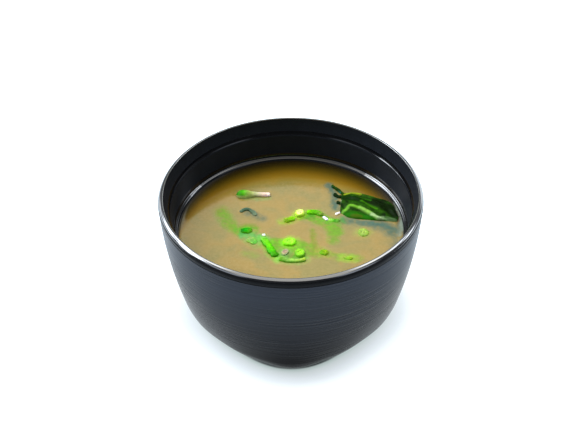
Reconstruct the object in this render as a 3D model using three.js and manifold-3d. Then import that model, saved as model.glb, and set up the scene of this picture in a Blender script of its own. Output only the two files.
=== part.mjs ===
import * as THREE from 'three';
import { mergeVertices } from 'three/addons/utils/BufferGeometryUtils.js';
import Module from 'manifold-3d';

// Miso soup with wakame and sliced scallion, in a black bowl with a round rim on a soft square base.
// Millimetres, +Z up. The origin is the centre of the foot, on the table; a corner of the base points to -Y.

// The bowl outside
const bowlHeight = 64.5;
const rimRadius = 57.5;
const lipRound = 2.4;
const lipEdgeRound = 0.25;
const lipTilt = 10;
const collarDrop = 3.4;
const collarStep = 0.2;
const wallDrop = 2;
const baseRadius = 42.8;
const lowerWallRadius = 51.6;
const upperWallRadius = 55.9;
const heelRound = 9.8;
const baseCorners = [0.067, 0.011, 0.007];
const cornerFade = 5;

// The foot ring and the hollow under the base
const footHeight = 1.3;
const footOuterRadius = 35.2;
const footInnerRadius = 31.2;
const footBevel = 0.4;
const baseHollow = 1.6;

// The bowl inside: two turned rings on the wall, and a round cup below the soup
const upperRing = { drop: 6.6, radius: 53.0, step: 0.7, height: 0.8 };
const lowerRing = { drop: 18.1, radius: 50.9, step: 1.3, height: 0.3 };
const soupDepthFromRim = 19.5;
const soupLineRadius = 49.0;
const cupFloorHeight = 5.0;
const cupSide = [43.4, 28];
const cupFloorRadius = 38;
const cupFlatRadius = 16;

// Everything that floats is set into the soup with this gap round it
const soupLevel = bowlHeight - soupDepthFromRim;
const gap = 0.3;
const slopeAllowance = 2;

// How finely the round forms are cut
const bowlSegments = 64;
const soupSegments = 32;
const cupSteps = 8;
const sliceSides = 14;
const leafSteps = { along: 14, across: 10 };
const weldDistance = 1e-4;

const colours = {
  bowl: 0x17181c,
  soup: 0xb7975f,
  wakame: 0x1e4a12,
  wakameSmall: 0x3c6460,
  scallionDark: 0x4fb81a,
  scallionBright: 0x86d625,
  scallionPale: 0xb5d789,
};

const wasm = await Module();
wasm.setup();

const point = (x, y) => new THREE.Vector2(x, y);
const point3 = (x, y, z) => new THREE.Vector3(x, y, z);

// Joins equal corners and drops the triangles that have shrunk to a line, as at a lathe's axis
function welded(geometry) {
  const bare = geometry.clone();
  bare.deleteAttribute('normal');
  bare.deleteAttribute('uv');
  const joined = mergeVertices(bare, weldDistance);
  const corners = joined.index.array;
  const kept = [];
  for (let i = 0; i < corners.length; i += 3) {
    const [a, b, c] = [corners[i], corners[i + 1], corners[i + 2]];
    if (a !== b && b !== c && c !== a) kept.push(a, b, c);
  }
  joined.setIndex(kept);
  return joined;
}

function toSolid(geometry) {
  const joined = welded(geometry);
  return new wasm.Manifold(new wasm.Mesh({
    numProp: 3,
    vertProperties: new Float32Array(joined.attributes.position.array),
    triVerts: new Uint32Array(joined.index.array),
  }));
}

function toGeometry(solid) {
  const mesh = solid.getMesh();
  const geometry = new THREE.BufferGeometry();
  geometry.setAttribute('position', new THREE.BufferAttribute(mesh.vertProperties, 3));
  geometry.setIndex(new THREE.BufferAttribute(mesh.triVerts, 1));
  return geometry;
}

function named(name, geometry, color, roughness) {
  const closed = welded(geometry);
  closed.computeVertexNormals();
  const mesh = new THREE.Mesh(closed, new THREE.MeshStandardMaterial({ color, roughness, metalness: 0 }));
  mesh.name = name;
  return mesh;
}

// Turns a profile of (radius, height) points round +Z
function turned(profile, segments) {
  return new THREE.LatheGeometry(profile, segments).rotateX(Math.PI / 2);
}

// An arc of the given number of steps, from one angle to another
function arcPoints(centreX, centreY, radius, fromDegrees, toDegrees, steps) {
  const from = THREE.MathUtils.degToRad(fromDegrees);
  const to = THREE.MathUtils.degToRad(toDegrees);
  const curve = new THREE.EllipseCurve(centreX, centreY, radius, radius, from, to, to < from);
  return curve.getPoints(steps);
}

// Bowl

const wallHeight = bowlHeight - wallDrop;

// The mean radius of the outside at a height: a swelling wall that turns in at the heel
function outsideRadius(height) {
  const wall = new THREE.CubicBezierCurve(
    point(baseRadius, 0),
    point(lowerWallRadius, wallHeight / 3),
    point(upperWallRadius, wallHeight * 2 / 3),
    point(rimRadius, wallHeight),
  ).getPoint(height / wallHeight).x;
  if (height >= heelRound) return wall;
  const below = 1 - height / heelRound;
  return wall - heelRound * (1 - Math.sqrt(1 - below * below));
}

// 1 where the bowl is a soft square, at the base, and near 0 where it is round
function squareness(height) {
  return Math.pow(Math.max(0, 1 - height / wallHeight), cornerFade);
}

// How far a soft square stands out at an angle, as a share of its mean radius
function cornerWave(angle) {
  return baseCorners.reduce((sum, share, i) => sum + share * Math.cos(4 * (i + 1) * angle), 0);
}

function footProfile() {
  return [
    point(0, baseHollow),
    point(footInnerRadius - 1, baseHollow),
    point(footInnerRadius, footBevel),
    point(footInnerRadius + footBevel, 0),
    point(footOuterRadius - footBevel, 0),
    point(footOuterRadius, footBevel),
    point(footOuterRadius, footHeight),
  ];
}

function wallProfile() {
  const heelHeights = [1.4, 2.4, 3.8, 5.6, 7.8];
  const wallHeights = [10.5, 14, 19, 25, 32, 40, 48, 55];
  const collarFoot = bowlHeight - collarDrop;
  const collarRadius = outsideRadius(collarFoot);
  return [
    ...[...heelHeights, ...wallHeights].map((height) => point(outsideRadius(height), height)),
    point(collarRadius - collarStep, collarFoot - collarStep),
    point(collarRadius, collarFoot),
  ];
}

// The rim: a broad outer rounding that stops short of level, then a small rounding at its inner edge
function lipProfile() {
  const tilt = THREE.MathUtils.degToRad(lipTilt);
  const apart = lipRound - lipEdgeRound;
  const outerX = rimRadius - lipRound;
  const edgeX = outerX + apart * Math.sin(tilt);
  const edgeY = bowlHeight - lipEdgeRound;
  return [
    ...arcPoints(outerX, edgeY - apart * Math.cos(tilt), lipRound, 0, 90 - lipTilt, 5),
    ...arcPoints(edgeX, edgeY, lipEdgeRound, 90, 180, 3),
  ];
}

function ringStep({ drop, radius, step, height }) {
  const top = bowlHeight - drop;
  return [point(radius, top), point(radius - step, top - height)];
}

// The round cup below the soup, from the soup's edge to its middle, drawn in by a clearance
function cupProfile(clearance) {
  const side = new THREE.CubicBezierCurve(
    point(soupLineRadius - clearance, soupLevel),
    point(cupSide[0] - clearance, cupSide[1]),
    point(cupFloorRadius - clearance, cupFloorHeight + clearance),
    point(cupFlatRadius, cupFloorHeight + clearance),
  );
  return [...side.getPoints(cupSteps), point(0, cupFloorHeight + clearance)];
}

function bowlGeometry() {
  const square = [...footProfile(), ...wallProfile()];
  const round = [
    ...lipProfile(),
    ...ringStep(upperRing),
    ...ringStep(lowerRing),
    ...cupProfile(0),
  ];
  const profile = [...square, ...round];
  const geometry = new THREE.LatheGeometry(profile, bowlSegments);
  const position = geometry.attributes.position;
  for (let i = 0; i < position.count; i += 1) {
    const place = i % profile.length;
    if (place >= square.length) continue;
    const angle = Math.atan2(position.getX(i), position.getZ(i));
    const height = place < footProfile().length ? 0 : profile[place].y;
    const stretch = 1 + squareness(height) * cornerWave(angle);
    position.setX(i, position.getX(i) * stretch);
    position.setZ(i, position.getZ(i) * stretch);
  }
  return geometry.rotateX(Math.PI / 2);
}

// What floats in the soup

// A closed round or oval slice of the stalk: a short tube that stands in the soup
function ringSlice({ at, across, along, turn = 0, wall, tall, rise }) {
  return (extra) => {
    const outer = across / 2 + extra;
    const inner = across / 2 - wall - extra;
    const half = tall / 2 + extra;
    const bevel = Math.min(wall, tall) / 4;
    const profile = [
      point(inner, -half + bevel), point(inner + bevel, -half),
      point(outer - bevel, -half), point(outer, -half + bevel),
      point(outer, half - bevel), point(outer - bevel, half),
      point(inner + bevel, half), point(inner, half - bevel),
      point(inner, -half + bevel),
    ];
    return turned(profile, sliceSides)
      .scale(1, along / across, 1)
      .rotateZ(THREE.MathUtils.degToRad(turn))
      .translate(at[0], at[1], soupLevel + rise - tall / 2);
  };
}

// A cut strip of skin that follows a line in plan, with its top edge above the soup
function stripSlice({ line, wide, tall, rise, arch = 0, steps = 10 }) {
  return (extra) => {
    const middle = soupLevel + rise - tall / 2;
    const last = line.length - 1;
    const path = new THREE.CatmullRomCurve3(line.map(([x, y], i) => (
      point3(x, y, middle + arch * Math.sin(Math.PI * i / last)))));
    const start = path.getPoint(0).sub(path.getTangent(0).multiplyScalar(extra));
    const end = path.getPoint(1).add(path.getTangent(1).multiplyScalar(extra));
    const grown = new THREE.CatmullRomCurve3([start, ...path.points.slice(1, -1), end]);
    const [h, w] = [tall / 2 + extra, wide / 2 + extra];
    const bevel = Math.min(wide, tall) / 4;
    const section = new THREE.Shape([
      point(-h + bevel, -w), point(h - bevel, -w), point(h, -w + bevel), point(h, w - bevel),
      point(h - bevel, w), point(-h + bevel, w), point(-h, w - bevel), point(-h, -w + bevel),
    ]);
    return new THREE.ExtrudeGeometry(section, { steps, extrudePath: grown, bevelEnabled: false });
  };
}

// The end of a stalk, lying down along X: widest near its green left end, thin at its white right end
function stalkEnd({ at, long, widths, flatness }) {
  return (extra) => {
    const last = widths.length - 1;
    const whole = long + 2 * extra;
    const profile = widths.map(([share, width]) => point(width / 2 + extra, (share - 0.5) * whole));
    return turned([point(0, profile[0].y), ...profile, point(0, profile[last].y)], sliceSides)
      .scale(1, flatness, 1)
      .rotateY(Math.PI / 2)
      .translate(at[0], at[1], at[2] + soupLevel);
  };
}

// Moves the points of an outline outward in plan; the outline runs anticlockwise seen from above
function spreadOutline(outline, distance) {
  const count = outline.length;
  const pushes = outline.map((p, i) => {
    const [before, after] = [outline[(i + count - 1) % count], outline[(i + 1) % count]];
    const tangent = after.clone().sub(before).setZ(0).normalize();
    return point3(tangent.y, -tangent.x, 0).multiplyScalar(distance);
  });
  outline.forEach((p, i) => p.add(pushes[i]));
}

// A thin wavy sheet over the unit square: the same triangles on both faces, and a closed edge.
// It is grown by a distance all round, and by more than that on its faces, because it slopes.
function sheet(surface, alongCount, acrossCount, thickness, extra) {
  const row = acrossCount + 1;
  const grid = [];
  for (let i = 0; i <= alongCount; i += 1) {
    for (let j = 0; j <= acrossCount; j += 1) grid.push(surface(i / alongCount, j / acrossCount));
  }
  const edge = [];
  for (let i = 0; i < alongCount; i += 1) edge.push(i * row);
  for (let j = 0; j < acrossCount; j += 1) edge.push(alongCount * row + j);
  for (let i = alongCount; i > 0; i -= 1) edge.push(i * row + acrossCount);
  for (let j = acrossCount; j > 0; j -= 1) edge.push(j);
  spreadOutline(edge.map((place) => grid[place]), extra);

  const half = thickness / 2 + extra * slopeAllowance;
  const positions = [half, -half].flatMap((lift) => grid.flatMap((p) => [p.x, p.y, p.z + lift]));
  const index = [];
  const under = grid.length;
  const addQuad = (a, b, c, d) => index.push(a, b, c, a, c, d);
  for (let i = 0; i < alongCount; i += 1) {
    for (let j = 0; j < acrossCount; j += 1) {
      const [a, b, c, d] = [i * row + j, (i + 1) * row + j, (i + 1) * row + j + 1, i * row + j + 1];
      addQuad(a, b, c, d);
      index.push(under + a, under + c, under + b, under + a, under + d, under + c);
    }
  }
  edge.forEach((a, i) => {
    const b = edge[(i + 1) % edge.length];
    addQuad(a, a + under, b + under, b);
  });
  const geometry = new THREE.BufferGeometry();
  geometry.setAttribute('position', new THREE.Float32BufferAttribute(positions, 3));
  geometry.setIndex(index);
  return geometry;
}

// The big wakame leaf: lofted from its front edge over a raised rib to its back edge
const leafThickness = 0.6;
const leafRibShare = 0.4;
const leafRib = [[22.0, 15.0, 1.5], [26.6, 15.9, 2.3], [33.2, 11.3, 2.1], [40.0, 7.6, 1.3], [47.0, 5.6, 0.5]];
const leafBack = [
  [22.8, 24.0, 0.8], [29.8, 22.9, 1.3], [37.8, 19.6, 1.2], [44.4, 16.4, 0.8], [47.5, 7.4, 0.5]];
const leafFront = [
  [21.8, 11.0, 0.1], [25.4, 7.6, 0.0], [32.0, 6.2, 0.0], [39.6, 5.2, 0.05], [46.6, 4.2, 0.1]];
const leafRipple = { height: 0.35, along: 3, across: 2 };
const leafStalk = stripSlice({
  wide: 1.3, tall: 1.6, rise: 1.1, steps: 6, line: [[18.4, 29.9], [21.0, 27.2], [23.6, 23.4]],
});

function line(points) {
  return new THREE.CatmullRomCurve3(points.map(([x, y, rise]) => point3(x, y, soupLevel + rise)));
}

function leafSurface(u, v) {
  const toFront = v < leafRibShare;
  const edge = line(toFront ? leafFront : leafBack).getPoint(u);
  const share = toFront ? (leafRibShare - v) / leafRibShare : (v - leafRibShare) / (1 - leafRibShare);
  const place = line(leafRib).getPoint(u).lerp(edge, share);
  const wave = Math.sin(2 * Math.PI * (leafRipple.along * u + leafRipple.across * v));
  place.z += leafRipple.height * Math.sin(Math.PI * share) * wave;
  return place;
}

function wakameLeaf(extra) {
  const blade = sheet(leafSurface, leafSteps.along, leafSteps.across, leafThickness, extra);
  return toGeometry(toSolid(blade).add(toSolid(leafStalk(extra))));
}

// A small torn shred of wakame: a strip that arches through the surface
const wakameShred = stripSlice({
  wide: 1.8, tall: 0.9, rise: 0.6, arch: 0.3, steps: 12,
  line: [[-22.4, 12.0], [-20.8, 13.5], [-18.6, 13.6], [-16.7, 11.8], [-15.4, 9.4]],
});

const scallions = {
  scallion_stalk_end: {
    form: stalkEnd, colour: colours.scallionDark, at: [-16.7, 23.9, 0.4], long: 15.2, flatness: 1.2,
    widths: [[0, 1.2], [0.06, 2.8], [0.17, 4.1], [0.3, 3.9], [0.45, 2.9], [0.65, 2.2], [0.92, 2.0], [1, 1.3]],
  },
  scallion_skin_left: {
    form: stripSlice, colour: colours.scallionDark, wide: 3.6, tall: 1.3, rise: 0.8, arch: 0.3, steps: 6,
    line: [[-21.9, -1.3], [-19.4, -0.8], [-17.0, -1.2]],
  },
  scallion_flat: {
    form: stripSlice, colour: colours.scallionPale, wide: 4.0, tall: 0.9, rise: 0.6, arch: 0.2, steps: 6,
    line: [[-18.6, -5.9], [-17.0, -7.8], [-15.2, -9.6]],
  },
  scallion_strip_long: {
    form: stripSlice, colour: colours.scallionBright, wide: 3.4, tall: 1.3, rise: 1.0, arch: 0.4,
    line: [[-12.2, -6.4], [-10.2, -10.8], [-8.4, -15.2], [-6.4, -18.7]],
  },
  scallion_strip_front: {
    form: stripSlice, colour: colours.scallionBright, wide: 2.2, tall: 1.5, rise: 1.0,
    line: [[-5.2, -20.3], [-2.8, -21.3], [0.2, -21.8], [3.4, -21.6], [6.2, -20.5]],
  },
  scallion_ring_front: {
    form: ringSlice, colour: colours.scallionBright, wall: 1.6, tall: 2.4, rise: 1.2,
    at: [3.8, -16.8], across: 4.6, along: 5.4, turn: 10,
  },
  scallion_ring_low: {
    form: ringSlice, colour: colours.scallionPale, wall: 1.1, tall: 1.7, rise: 0.6,
    at: [-2.7, -15.8], across: 3.2, along: 4.6, turn: -25,
  },
  scallion_ring_middle: {
    form: ringSlice, colour: colours.scallionBright, wall: 2.1, tall: 2.2, rise: 1.1,
    at: [-0.7, -9.2], across: 6.2, along: 5.0, turn: 8,
  },
  scallion_back_left: {
    form: stripSlice, colour: colours.scallionBright, wide: 2.8, tall: 1.4, rise: 1.0, steps: 6,
    line: [[-3.0, 5.4], [-0.4, 6.4], [1.7, 7.6]],
  },
  scallion_ring_back: {
    form: ringSlice, colour: colours.scallionPale, wall: 1.6, tall: 2.5, rise: 1.5,
    at: [3.9, 10.2], across: 4.2, along: 4.6, turn: -20,
  },
  scallion_back_right: {
    form: stripSlice, colour: colours.scallionBright, wide: 2.8, tall: 1.5, rise: 1.1, steps: 8,
    line: [[7.0, 11.0], [9.4, 11.4], [12.0, 10.8], [14.0, 9.0]],
  },
  scallion_sliver: {
    form: stripSlice, colour: colours.scallionBright, wide: 2.8, tall: 1.2, rise: 0.5, steps: 6,
    line: [[16.4, 6.2], [19.0, 5.6], [21.6, 5.4]],
  },
  scallion_wedge: {
    form: stripSlice, colour: colours.scallionBright, wide: 3.4, tall: 1.6, rise: 0.9, steps: 6,
    line: [[12.6, -15.2], [14.3, -16.2], [16.0, -16.9]],
  },
  scallion_chip: {
    form: stripSlice, colour: colours.scallionBright, wide: 2.1, tall: 1.2, rise: 0.6, steps: 5,
    line: [[22.5, -19.6], [24.4, -20.1], [26.4, -20.0]],
  },
  scallion_ring_right: {
    form: ringSlice, colour: colours.scallionPale, wall: 1.9, tall: 1.8, rise: 0.5,
    at: [31.6, -2.8], across: 4.8, along: 5.6, turn: 0,
  },
};

// Soup

// The soup fills the cup to its level, with a pocket round each thing that floats in it
function soupGeometry(floating) {
  const whole = toSolid(turned([...cupProfile(gap).reverse(), point(0, soupLevel)], soupSegments));
  return toGeometry(floating.reduce((soup, form) => soup.subtract(toSolid(form(gap))), whole));
}

function misoSoup() {
  const pieces = Object.entries(scallions)
    .map(([name, piece]) => ({ name, colour: piece.colour, shape: piece.form(piece) }));
  const floating = [wakameLeaf, wakameShred, ...pieces.map((piece) => piece.shape)];
  const group = new THREE.Group();
  group.add(
    named('bowl', bowlGeometry(), colours.bowl, 0.25),
    named('soup', soupGeometry(floating), colours.soup, 0.15),
    named('wakame_leaf', wakameLeaf(0), colours.wakame, 0.35),
    named('wakame_shred', wakameShred(0), colours.wakameSmall, 0.35),
    ...pieces.map((piece) => named(piece.name, piece.shape(0), piece.colour, 0.35)),
  );
  return group;
}

export default misoSoup();
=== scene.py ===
import math
from functools import partial

import bpy
import numpy as np
from mathutils import Matrix, Vector, noise


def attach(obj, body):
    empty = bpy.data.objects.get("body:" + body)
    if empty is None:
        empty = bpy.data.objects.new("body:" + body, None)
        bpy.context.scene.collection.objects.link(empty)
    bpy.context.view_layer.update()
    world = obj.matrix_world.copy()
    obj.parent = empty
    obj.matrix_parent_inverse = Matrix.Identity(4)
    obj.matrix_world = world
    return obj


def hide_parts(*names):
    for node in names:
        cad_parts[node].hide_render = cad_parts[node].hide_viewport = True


# Miso soup in a black bowl. Dimensions are in millimetres here and become metres in addMesh.
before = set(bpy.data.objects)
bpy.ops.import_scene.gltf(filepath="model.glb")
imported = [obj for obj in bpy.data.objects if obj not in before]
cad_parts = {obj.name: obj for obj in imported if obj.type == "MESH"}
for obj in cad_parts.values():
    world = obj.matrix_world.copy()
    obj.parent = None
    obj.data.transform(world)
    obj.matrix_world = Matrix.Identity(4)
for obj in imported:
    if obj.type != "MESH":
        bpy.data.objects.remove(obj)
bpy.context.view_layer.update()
print("frame loaded,", len(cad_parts), "nodes")

mm = 0.001


def hexColour(code):
    channels = [int(code[i:i + 2], 16) / 255 for i in (1, 3, 5)]
    linear = [c / 12.92 if c <= 0.04045 else ((c + 0.055) / 1.055) ** 2.4 for c in channels]
    return (*linear, 1.0)


def toneRows(codes):
    return np.array([hexColour(code)[:3] for code in codes])


# Adds a node. An input takes a number, a hex colour, an output, or a node for its first live output
def addNode(tree, kind, inputs=None, **settings):
    node = tree.nodes.new("ShaderNode" + kind)
    for name, value in settings.items():
        setattr(node, name, value)
    for key, value in (inputs or {}).items():
        if isinstance(value, bpy.types.Node):
            value = next(output for output in value.outputs if output.enabled)
        if isinstance(value, bpy.types.NodeSocket):
            tree.links.new(value, node.inputs[key])
        else:
            node.inputs[key].default_value = hexColour(value) if isinstance(value, str) else value
    return node


# The pattern function of a material adds its nodes and gives the inputs of its surface
def newMaterial(name, pattern, values):
    material = bpy.data.materials.new(name)
    material.use_nodes = True
    material.node_tree.nodes.clear()
    add = partial(addNode, material.node_tree)
    surface = add("BsdfPrincipled", pattern(add, add("TexCoord").outputs["Object"], values))
    add("OutputMaterial", {"Surface": surface})
    return material


# The scale of a pattern from its size in millimetres
def scaleOf(size):
    return 1 / (size * mm)


# A smooth mesh from points in millimetres; the tints are colours at its points that its material reads
def addMesh(name, points, faces, materials, tints=None, faceFinish=None):
    mesh = bpy.data.meshes.new(name)
    mesh.from_pydata((np.asarray(points, float) * mm).tolist(), [], [list(map(int, face)) for face in faces])
    for material in materials:
        mesh.materials.append(material)
    mesh.polygons.foreach_set("use_smooth", [True] * len(mesh.polygons))
    if faceFinish is not None:
        mesh.polygons.foreach_set("material_index", np.asarray(faceFinish, np.int32))
    for label, colours in (tints or {}).items():
        attribute = mesh.attributes.new(label, "FLOAT_COLOR", "POINT")
        attribute.data.foreach_set("color", np.asarray(colours, np.float32).ravel())
    mesh.update()
    piece = bpy.data.objects.new(name, mesh)
    bpy.context.scene.collection.objects.link(piece)
    return piece


# Quads of a grid of points; it can close on itself along its rows and its columns
def gridFaces(rows, columns, closeRows=False, closeColumns=False):
    faces = []
    for i in range(rows if closeRows else rows - 1):
        below = i * columns
        above = (i + 1) % rows * columns
        for j in range(columns if closeColumns else columns - 1):
            k = (j + 1) % columns
            faces.append((below + j, below + k, above + k, above + j))
    return faces


def turnedFaces(faces):
    return [face[::-1] for face in faces]


# A tube of points whose ends close in the two points that follow them
def tubeFaces(rows, columns, flip=False):
    faces = gridFaces(rows, columns, closeColumns=True)
    tip = rows * columns
    for start, end, turned in ((0, tip, True), (tip - columns, tip + 1, False)):
        fan = [(start + j, start + (j + 1) % columns, end) for j in range(columns)]
        faces += turnedFaces(fan) if turned else fan
    return turnedFaces(faces) if flip else faces


def joinMeshes(parts):
    points, faces = np.empty((0, 3)), []
    for partPoints, partFaces in parts:
        faces += [tuple(k + len(points) for k in face) for face in partFaces]
        points = np.vstack([points, partPoints])
    return points, faces


def smoothStep(value, low, high):
    share = np.clip((np.asarray(value, float) - low) / (high - low), 0, 1)
    return share * share * (3 - 2 * share)


def fullTurn(count):
    return np.linspace(0, 2 * math.pi, count, endpoint=False)


# Points along a smooth curve through the given ones, at shares from 0 to 1 of its spans
def alongLine(points, shares):
    knots = np.asarray(points, float)
    last = len(knots) - 1
    knots = np.vstack([2 * knots[0] - knots[1], knots, 2 * knots[-1] - knots[-2]])
    place = np.clip(np.asarray(shares, float), 0, 1) * last
    span = np.minimum(place.astype(int), last - 1)
    weight = (place - span)[:, None]
    before, start, end, after = (knots[span + i] for i in range(4))
    gaps = [np.sqrt(np.linalg.norm(b - a, axis=1))[:, None]
            for a, b in ((before, start), (start, end), (end, after))]
    leave = (start - before) / gaps[0] - (end - before) / (gaps[0] + gaps[1]) + (end - start) / gaps[1]
    arrive = (end - start) / gaps[1] - (after - start) / (gaps[1] + gaps[2]) + (after - end) / gaps[2]
    leave, arrive = leave * gaps[1], arrive * gaps[1]
    square, cube = weight ** 2, weight ** 3
    return (start + leave * weight + (3 * (end - start) - 2 * leave - arrive) * square
            + (2 * (start - end) + leave + arrive) * cube)


def noiseAt(x, y, z):
    return noise.noise(Vector((x, y, z)))


# Smooth noise from about -1 to 1 at points in plan or in space, with bumps of about a size in millimetres
def softNoise(points, size, seed=0.0):
    places = np.pad(points, ((0, 0), (0, 3 - points.shape[1]))) / size + (seed, -seed, 2 * seed)
    return np.array([noiseAt(*place) for place in places])


# A section's outline across and up, from -1 to 1; a power below 1 makes it squarer
def squaredCircle(angles, power):
    return (np.sign(wave) * np.abs(wave) ** power for wave in (np.cos(angles), np.sin(angles)))


view = {
    "elevation": 38.54,        # degrees above the horizon
    "distance": 900.0,         # from the middle of the rim
    "aim": (-2.1, -5.1, 57.75),
    "roll": -0.57,
    "lens": 131.13,
    "clip": (0.05, 60),        # metres
}


def makeCamera():
    angle = math.radians(view["elevation"])
    place = Vector((0, -math.cos(angle), math.sin(angle))) * view["distance"]
    place.z += bowl["height"]
    data = bpy.data.cameras.new("camera")
    data.lens = view["lens"]
    data.clip_start, data.clip_end = view["clip"]
    camera = bpy.data.objects.new("camera", data)
    turn = (Vector(view["aim"]) - place).to_track_quat("-Z", "Y").to_matrix()
    roll = Matrix.Rotation(math.radians(view["roll"]), 3, "Z")
    camera.matrix_world = Matrix.Translation(place * mm) @ (turn @ roll).to_4x4()
    bpy.context.scene.collection.objects.link(camera)
    bpy.context.scene.camera = camera


studio = {
    "frontSky": ("#dbe4ee", 0.07),     # the camera's side of the room, nearly dark
    "backSky": ("#f4f9ff", 0.35),
    "skyChange": {"From Min": -0.3, "From Max": 0.5},
    # azimuth from +Y towards +X, elevation, half the width and height, soft edge, in degrees; colour; light
    "softBoxes": [
        (0, 40, (9, 11), 4, "#f2fae6", 2.6),
        (0, 97, (34, 29), 4, "#fbfaf4", 1.65),
        (-121, 36, (14, 9), 6, "#e6efff", 1.3),
        (121, 36, (14, 9), 6, "#e6efff", 1.3),
        (-58, 58, (14, 9), 4, "#fbfdff", 3.6),
        (58, 58, (14, 9), 4, "#fbfdff", 3.6),
        (-61, 46, (13, 5), 3, "#eef6ff", 12.0),
        (61, 45, (8, 5), 3, "#eef6ff", 6.0),
        (-83, 37, (11, 11), 4, "#eef6ff", 8.5),
        (-62, 21, (9, 9), 4, "#eef6ff", 7.0),
        (-50, 34, (7, 6), 4, "#eef6ff", 7.0),
        (-86, 21, (7, 5), 3, "#eef6ff", 7.0),
        (-46, 12, (6, 8), 4, "#eef6ff", 3.0),
        (66, 26, (6, 7), 4, "#eef6ff", 7.0),
        (34, 8, (10, 14), 6, "#eef6ff", 2.6),
    ],
}

paper = {
    "colours": {6: "#8d9093", 7: "#97999b"},
    "fibres": {"Scale": scaleOf(166.7)},
    "surface": {"Roughness": 0.9, "Specular IOR Level": 0.2, "Emission Strength": 2.0},
    # how brightly the table glows at each distance from the foot of the bowl: a painted shadow, near black
    # at the foot
    "steps": [(0, "#050606"), (1.0, "#262a2a"), (1.9, "#7c8785"), (4, "#8b9293"), (7, "#92989b"),
              (10, "#9aa0a4"), (14, "#a9afb3"), (20, "#b8bec1"), (60, "#e4f4ff")],
    # the painted shadow follows this outline round the foot
    "footRadius": 38.0,        # mean radius and corners of the dark outline that the bowl leaves
    "footCorners": 0.05,
    "size": 16000.0,
}


def boxDirections(azimuth, elevation):
    azimuth, elevation = math.radians(azimuth), math.radians(elevation)
    middle = Vector((math.sin(azimuth) * math.cos(elevation), math.cos(azimuth) * math.cos(elevation),
                     math.sin(elevation)))
    right = Vector((math.cos(azimuth), -math.sin(azimuth), 0))
    return middle, right, right.cross(middle)


# 1 inside a soft box and 0 outside it, for each direction of the world
def boxMask(add, direction, axes, halfSizes, soft):
    middle, right, up = (add("VectorMath", {0: direction, 1: axis}, operation="DOT_PRODUCT")
                         for axis in axes)
    mask = add("Math", {0: middle, 1: 0.0}, operation="GREATER_THAN")
    for side, half in zip((right, up), halfSizes):
        slope = add("Math", {0: side, 1: middle}, operation="DIVIDE")
        away = add("Math", {0: slope}, operation="ABSOLUTE")
        outer, inner = math.tan(math.radians(half + soft)), math.tan(math.radians(half - soft))
        inside = add("MapRange", {"Value": away, "From Min": outer, "From Max": inner},
                     interpolation_type="SMOOTHSTEP")
        mask = add("Math", {0: mask, 1: inside}, operation="MULTIPLY")
    return mask


# Matt white paper that glows by itself, as painted light: soft, and nearly without shadow but for a painted
# shadow round the bowl's foot
def mattPaper(add, place, values):
    axes = add("SeparateXYZ", {0: place}).outputs
    angle = add("Math", {0: axes["Y"], 1: axes["X"]}, operation="ARCTAN2")
    quarter = add("Math", {0: angle, 1: 4.0}, operation="MULTIPLY")
    wave = add("Math", {0: quarter}, operation="COSINE")
    radius = values["footRadius"] * mm
    outline = add("Math", {0: wave, 1: values["footCorners"] * radius, 2: radius}, operation="MULTIPLY_ADD")
    away = add("VectorMath", {0: place}, operation="LENGTH")
    gap = add("Math", {0: away, 1: outline}, operation="SUBTRACT")
    reach = values["steps"][-1][0]
    share = add("MapRange", {"Value": gap, "From Max": reach * mm})
    ramp = add("ValToRGB", {0: share})
    stops = ramp.color_ramp.elements
    stops.remove(stops[1])
    for i, (distance, colour) in enumerate(values["steps"]):
        stop = stops[0] if i == 0 else stops.new(distance / reach)
        stop.color = hexColour(colour)
    fibres = add("TexNoise", {"Vector": place, **values["fibres"]})
    shade = add("Mix", {0: fibres, **values["colours"]}, data_type="RGBA")
    return {"Base Color": shade, "Emission Color": ramp, **values["surface"]}


# A dim room with soft boxes over and beside the bowl, all in the world
def makeStudio():
    world = bpy.data.worlds.new("soft_box_studio")
    bpy.context.scene.world = world
    world.use_nodes = True
    world.node_tree.nodes.clear()
    add = partial(addNode, world.node_tree)
    direction = add("TexCoord").outputs["Generated"]
    side = add("SeparateXYZ", {0: direction}).outputs["Y"]
    toBack = add("MapRange", {"Value": side, **studio["skyChange"]}, interpolation_type="SMOOTHSTEP")
    front, back = (add("Background", {"Color": colour, "Strength": light})
                   for colour, light in (studio["frontSky"], studio["backSky"]))
    room = add("MixShader", {0: toBack, 1: front, 2: back})
    for azimuth, elevation, halfSizes, soft, colour, light in studio["softBoxes"]:
        mask = boxMask(add, direction, boxDirections(azimuth, elevation), halfSizes, soft)
        strength = add("Math", {0: mask, 1: light}, operation="MULTIPLY")
        glow = add("Background", {"Color": colour, "Strength": strength})
        room = add("AddShader", {0: room, 1: glow})
    add("OutputWorld", {"Surface": room})

    half = paper["size"] / 2
    floor = addMesh("floor", [(-half, -half, 0), (half, -half, 0), (half, half, 0), (-half, half, 0)],
                    [(0, 1, 2, 3)], [newMaterial("mattPaperPaintedGlow", mattPaper, paper)])
    print("studio ready")


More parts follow.
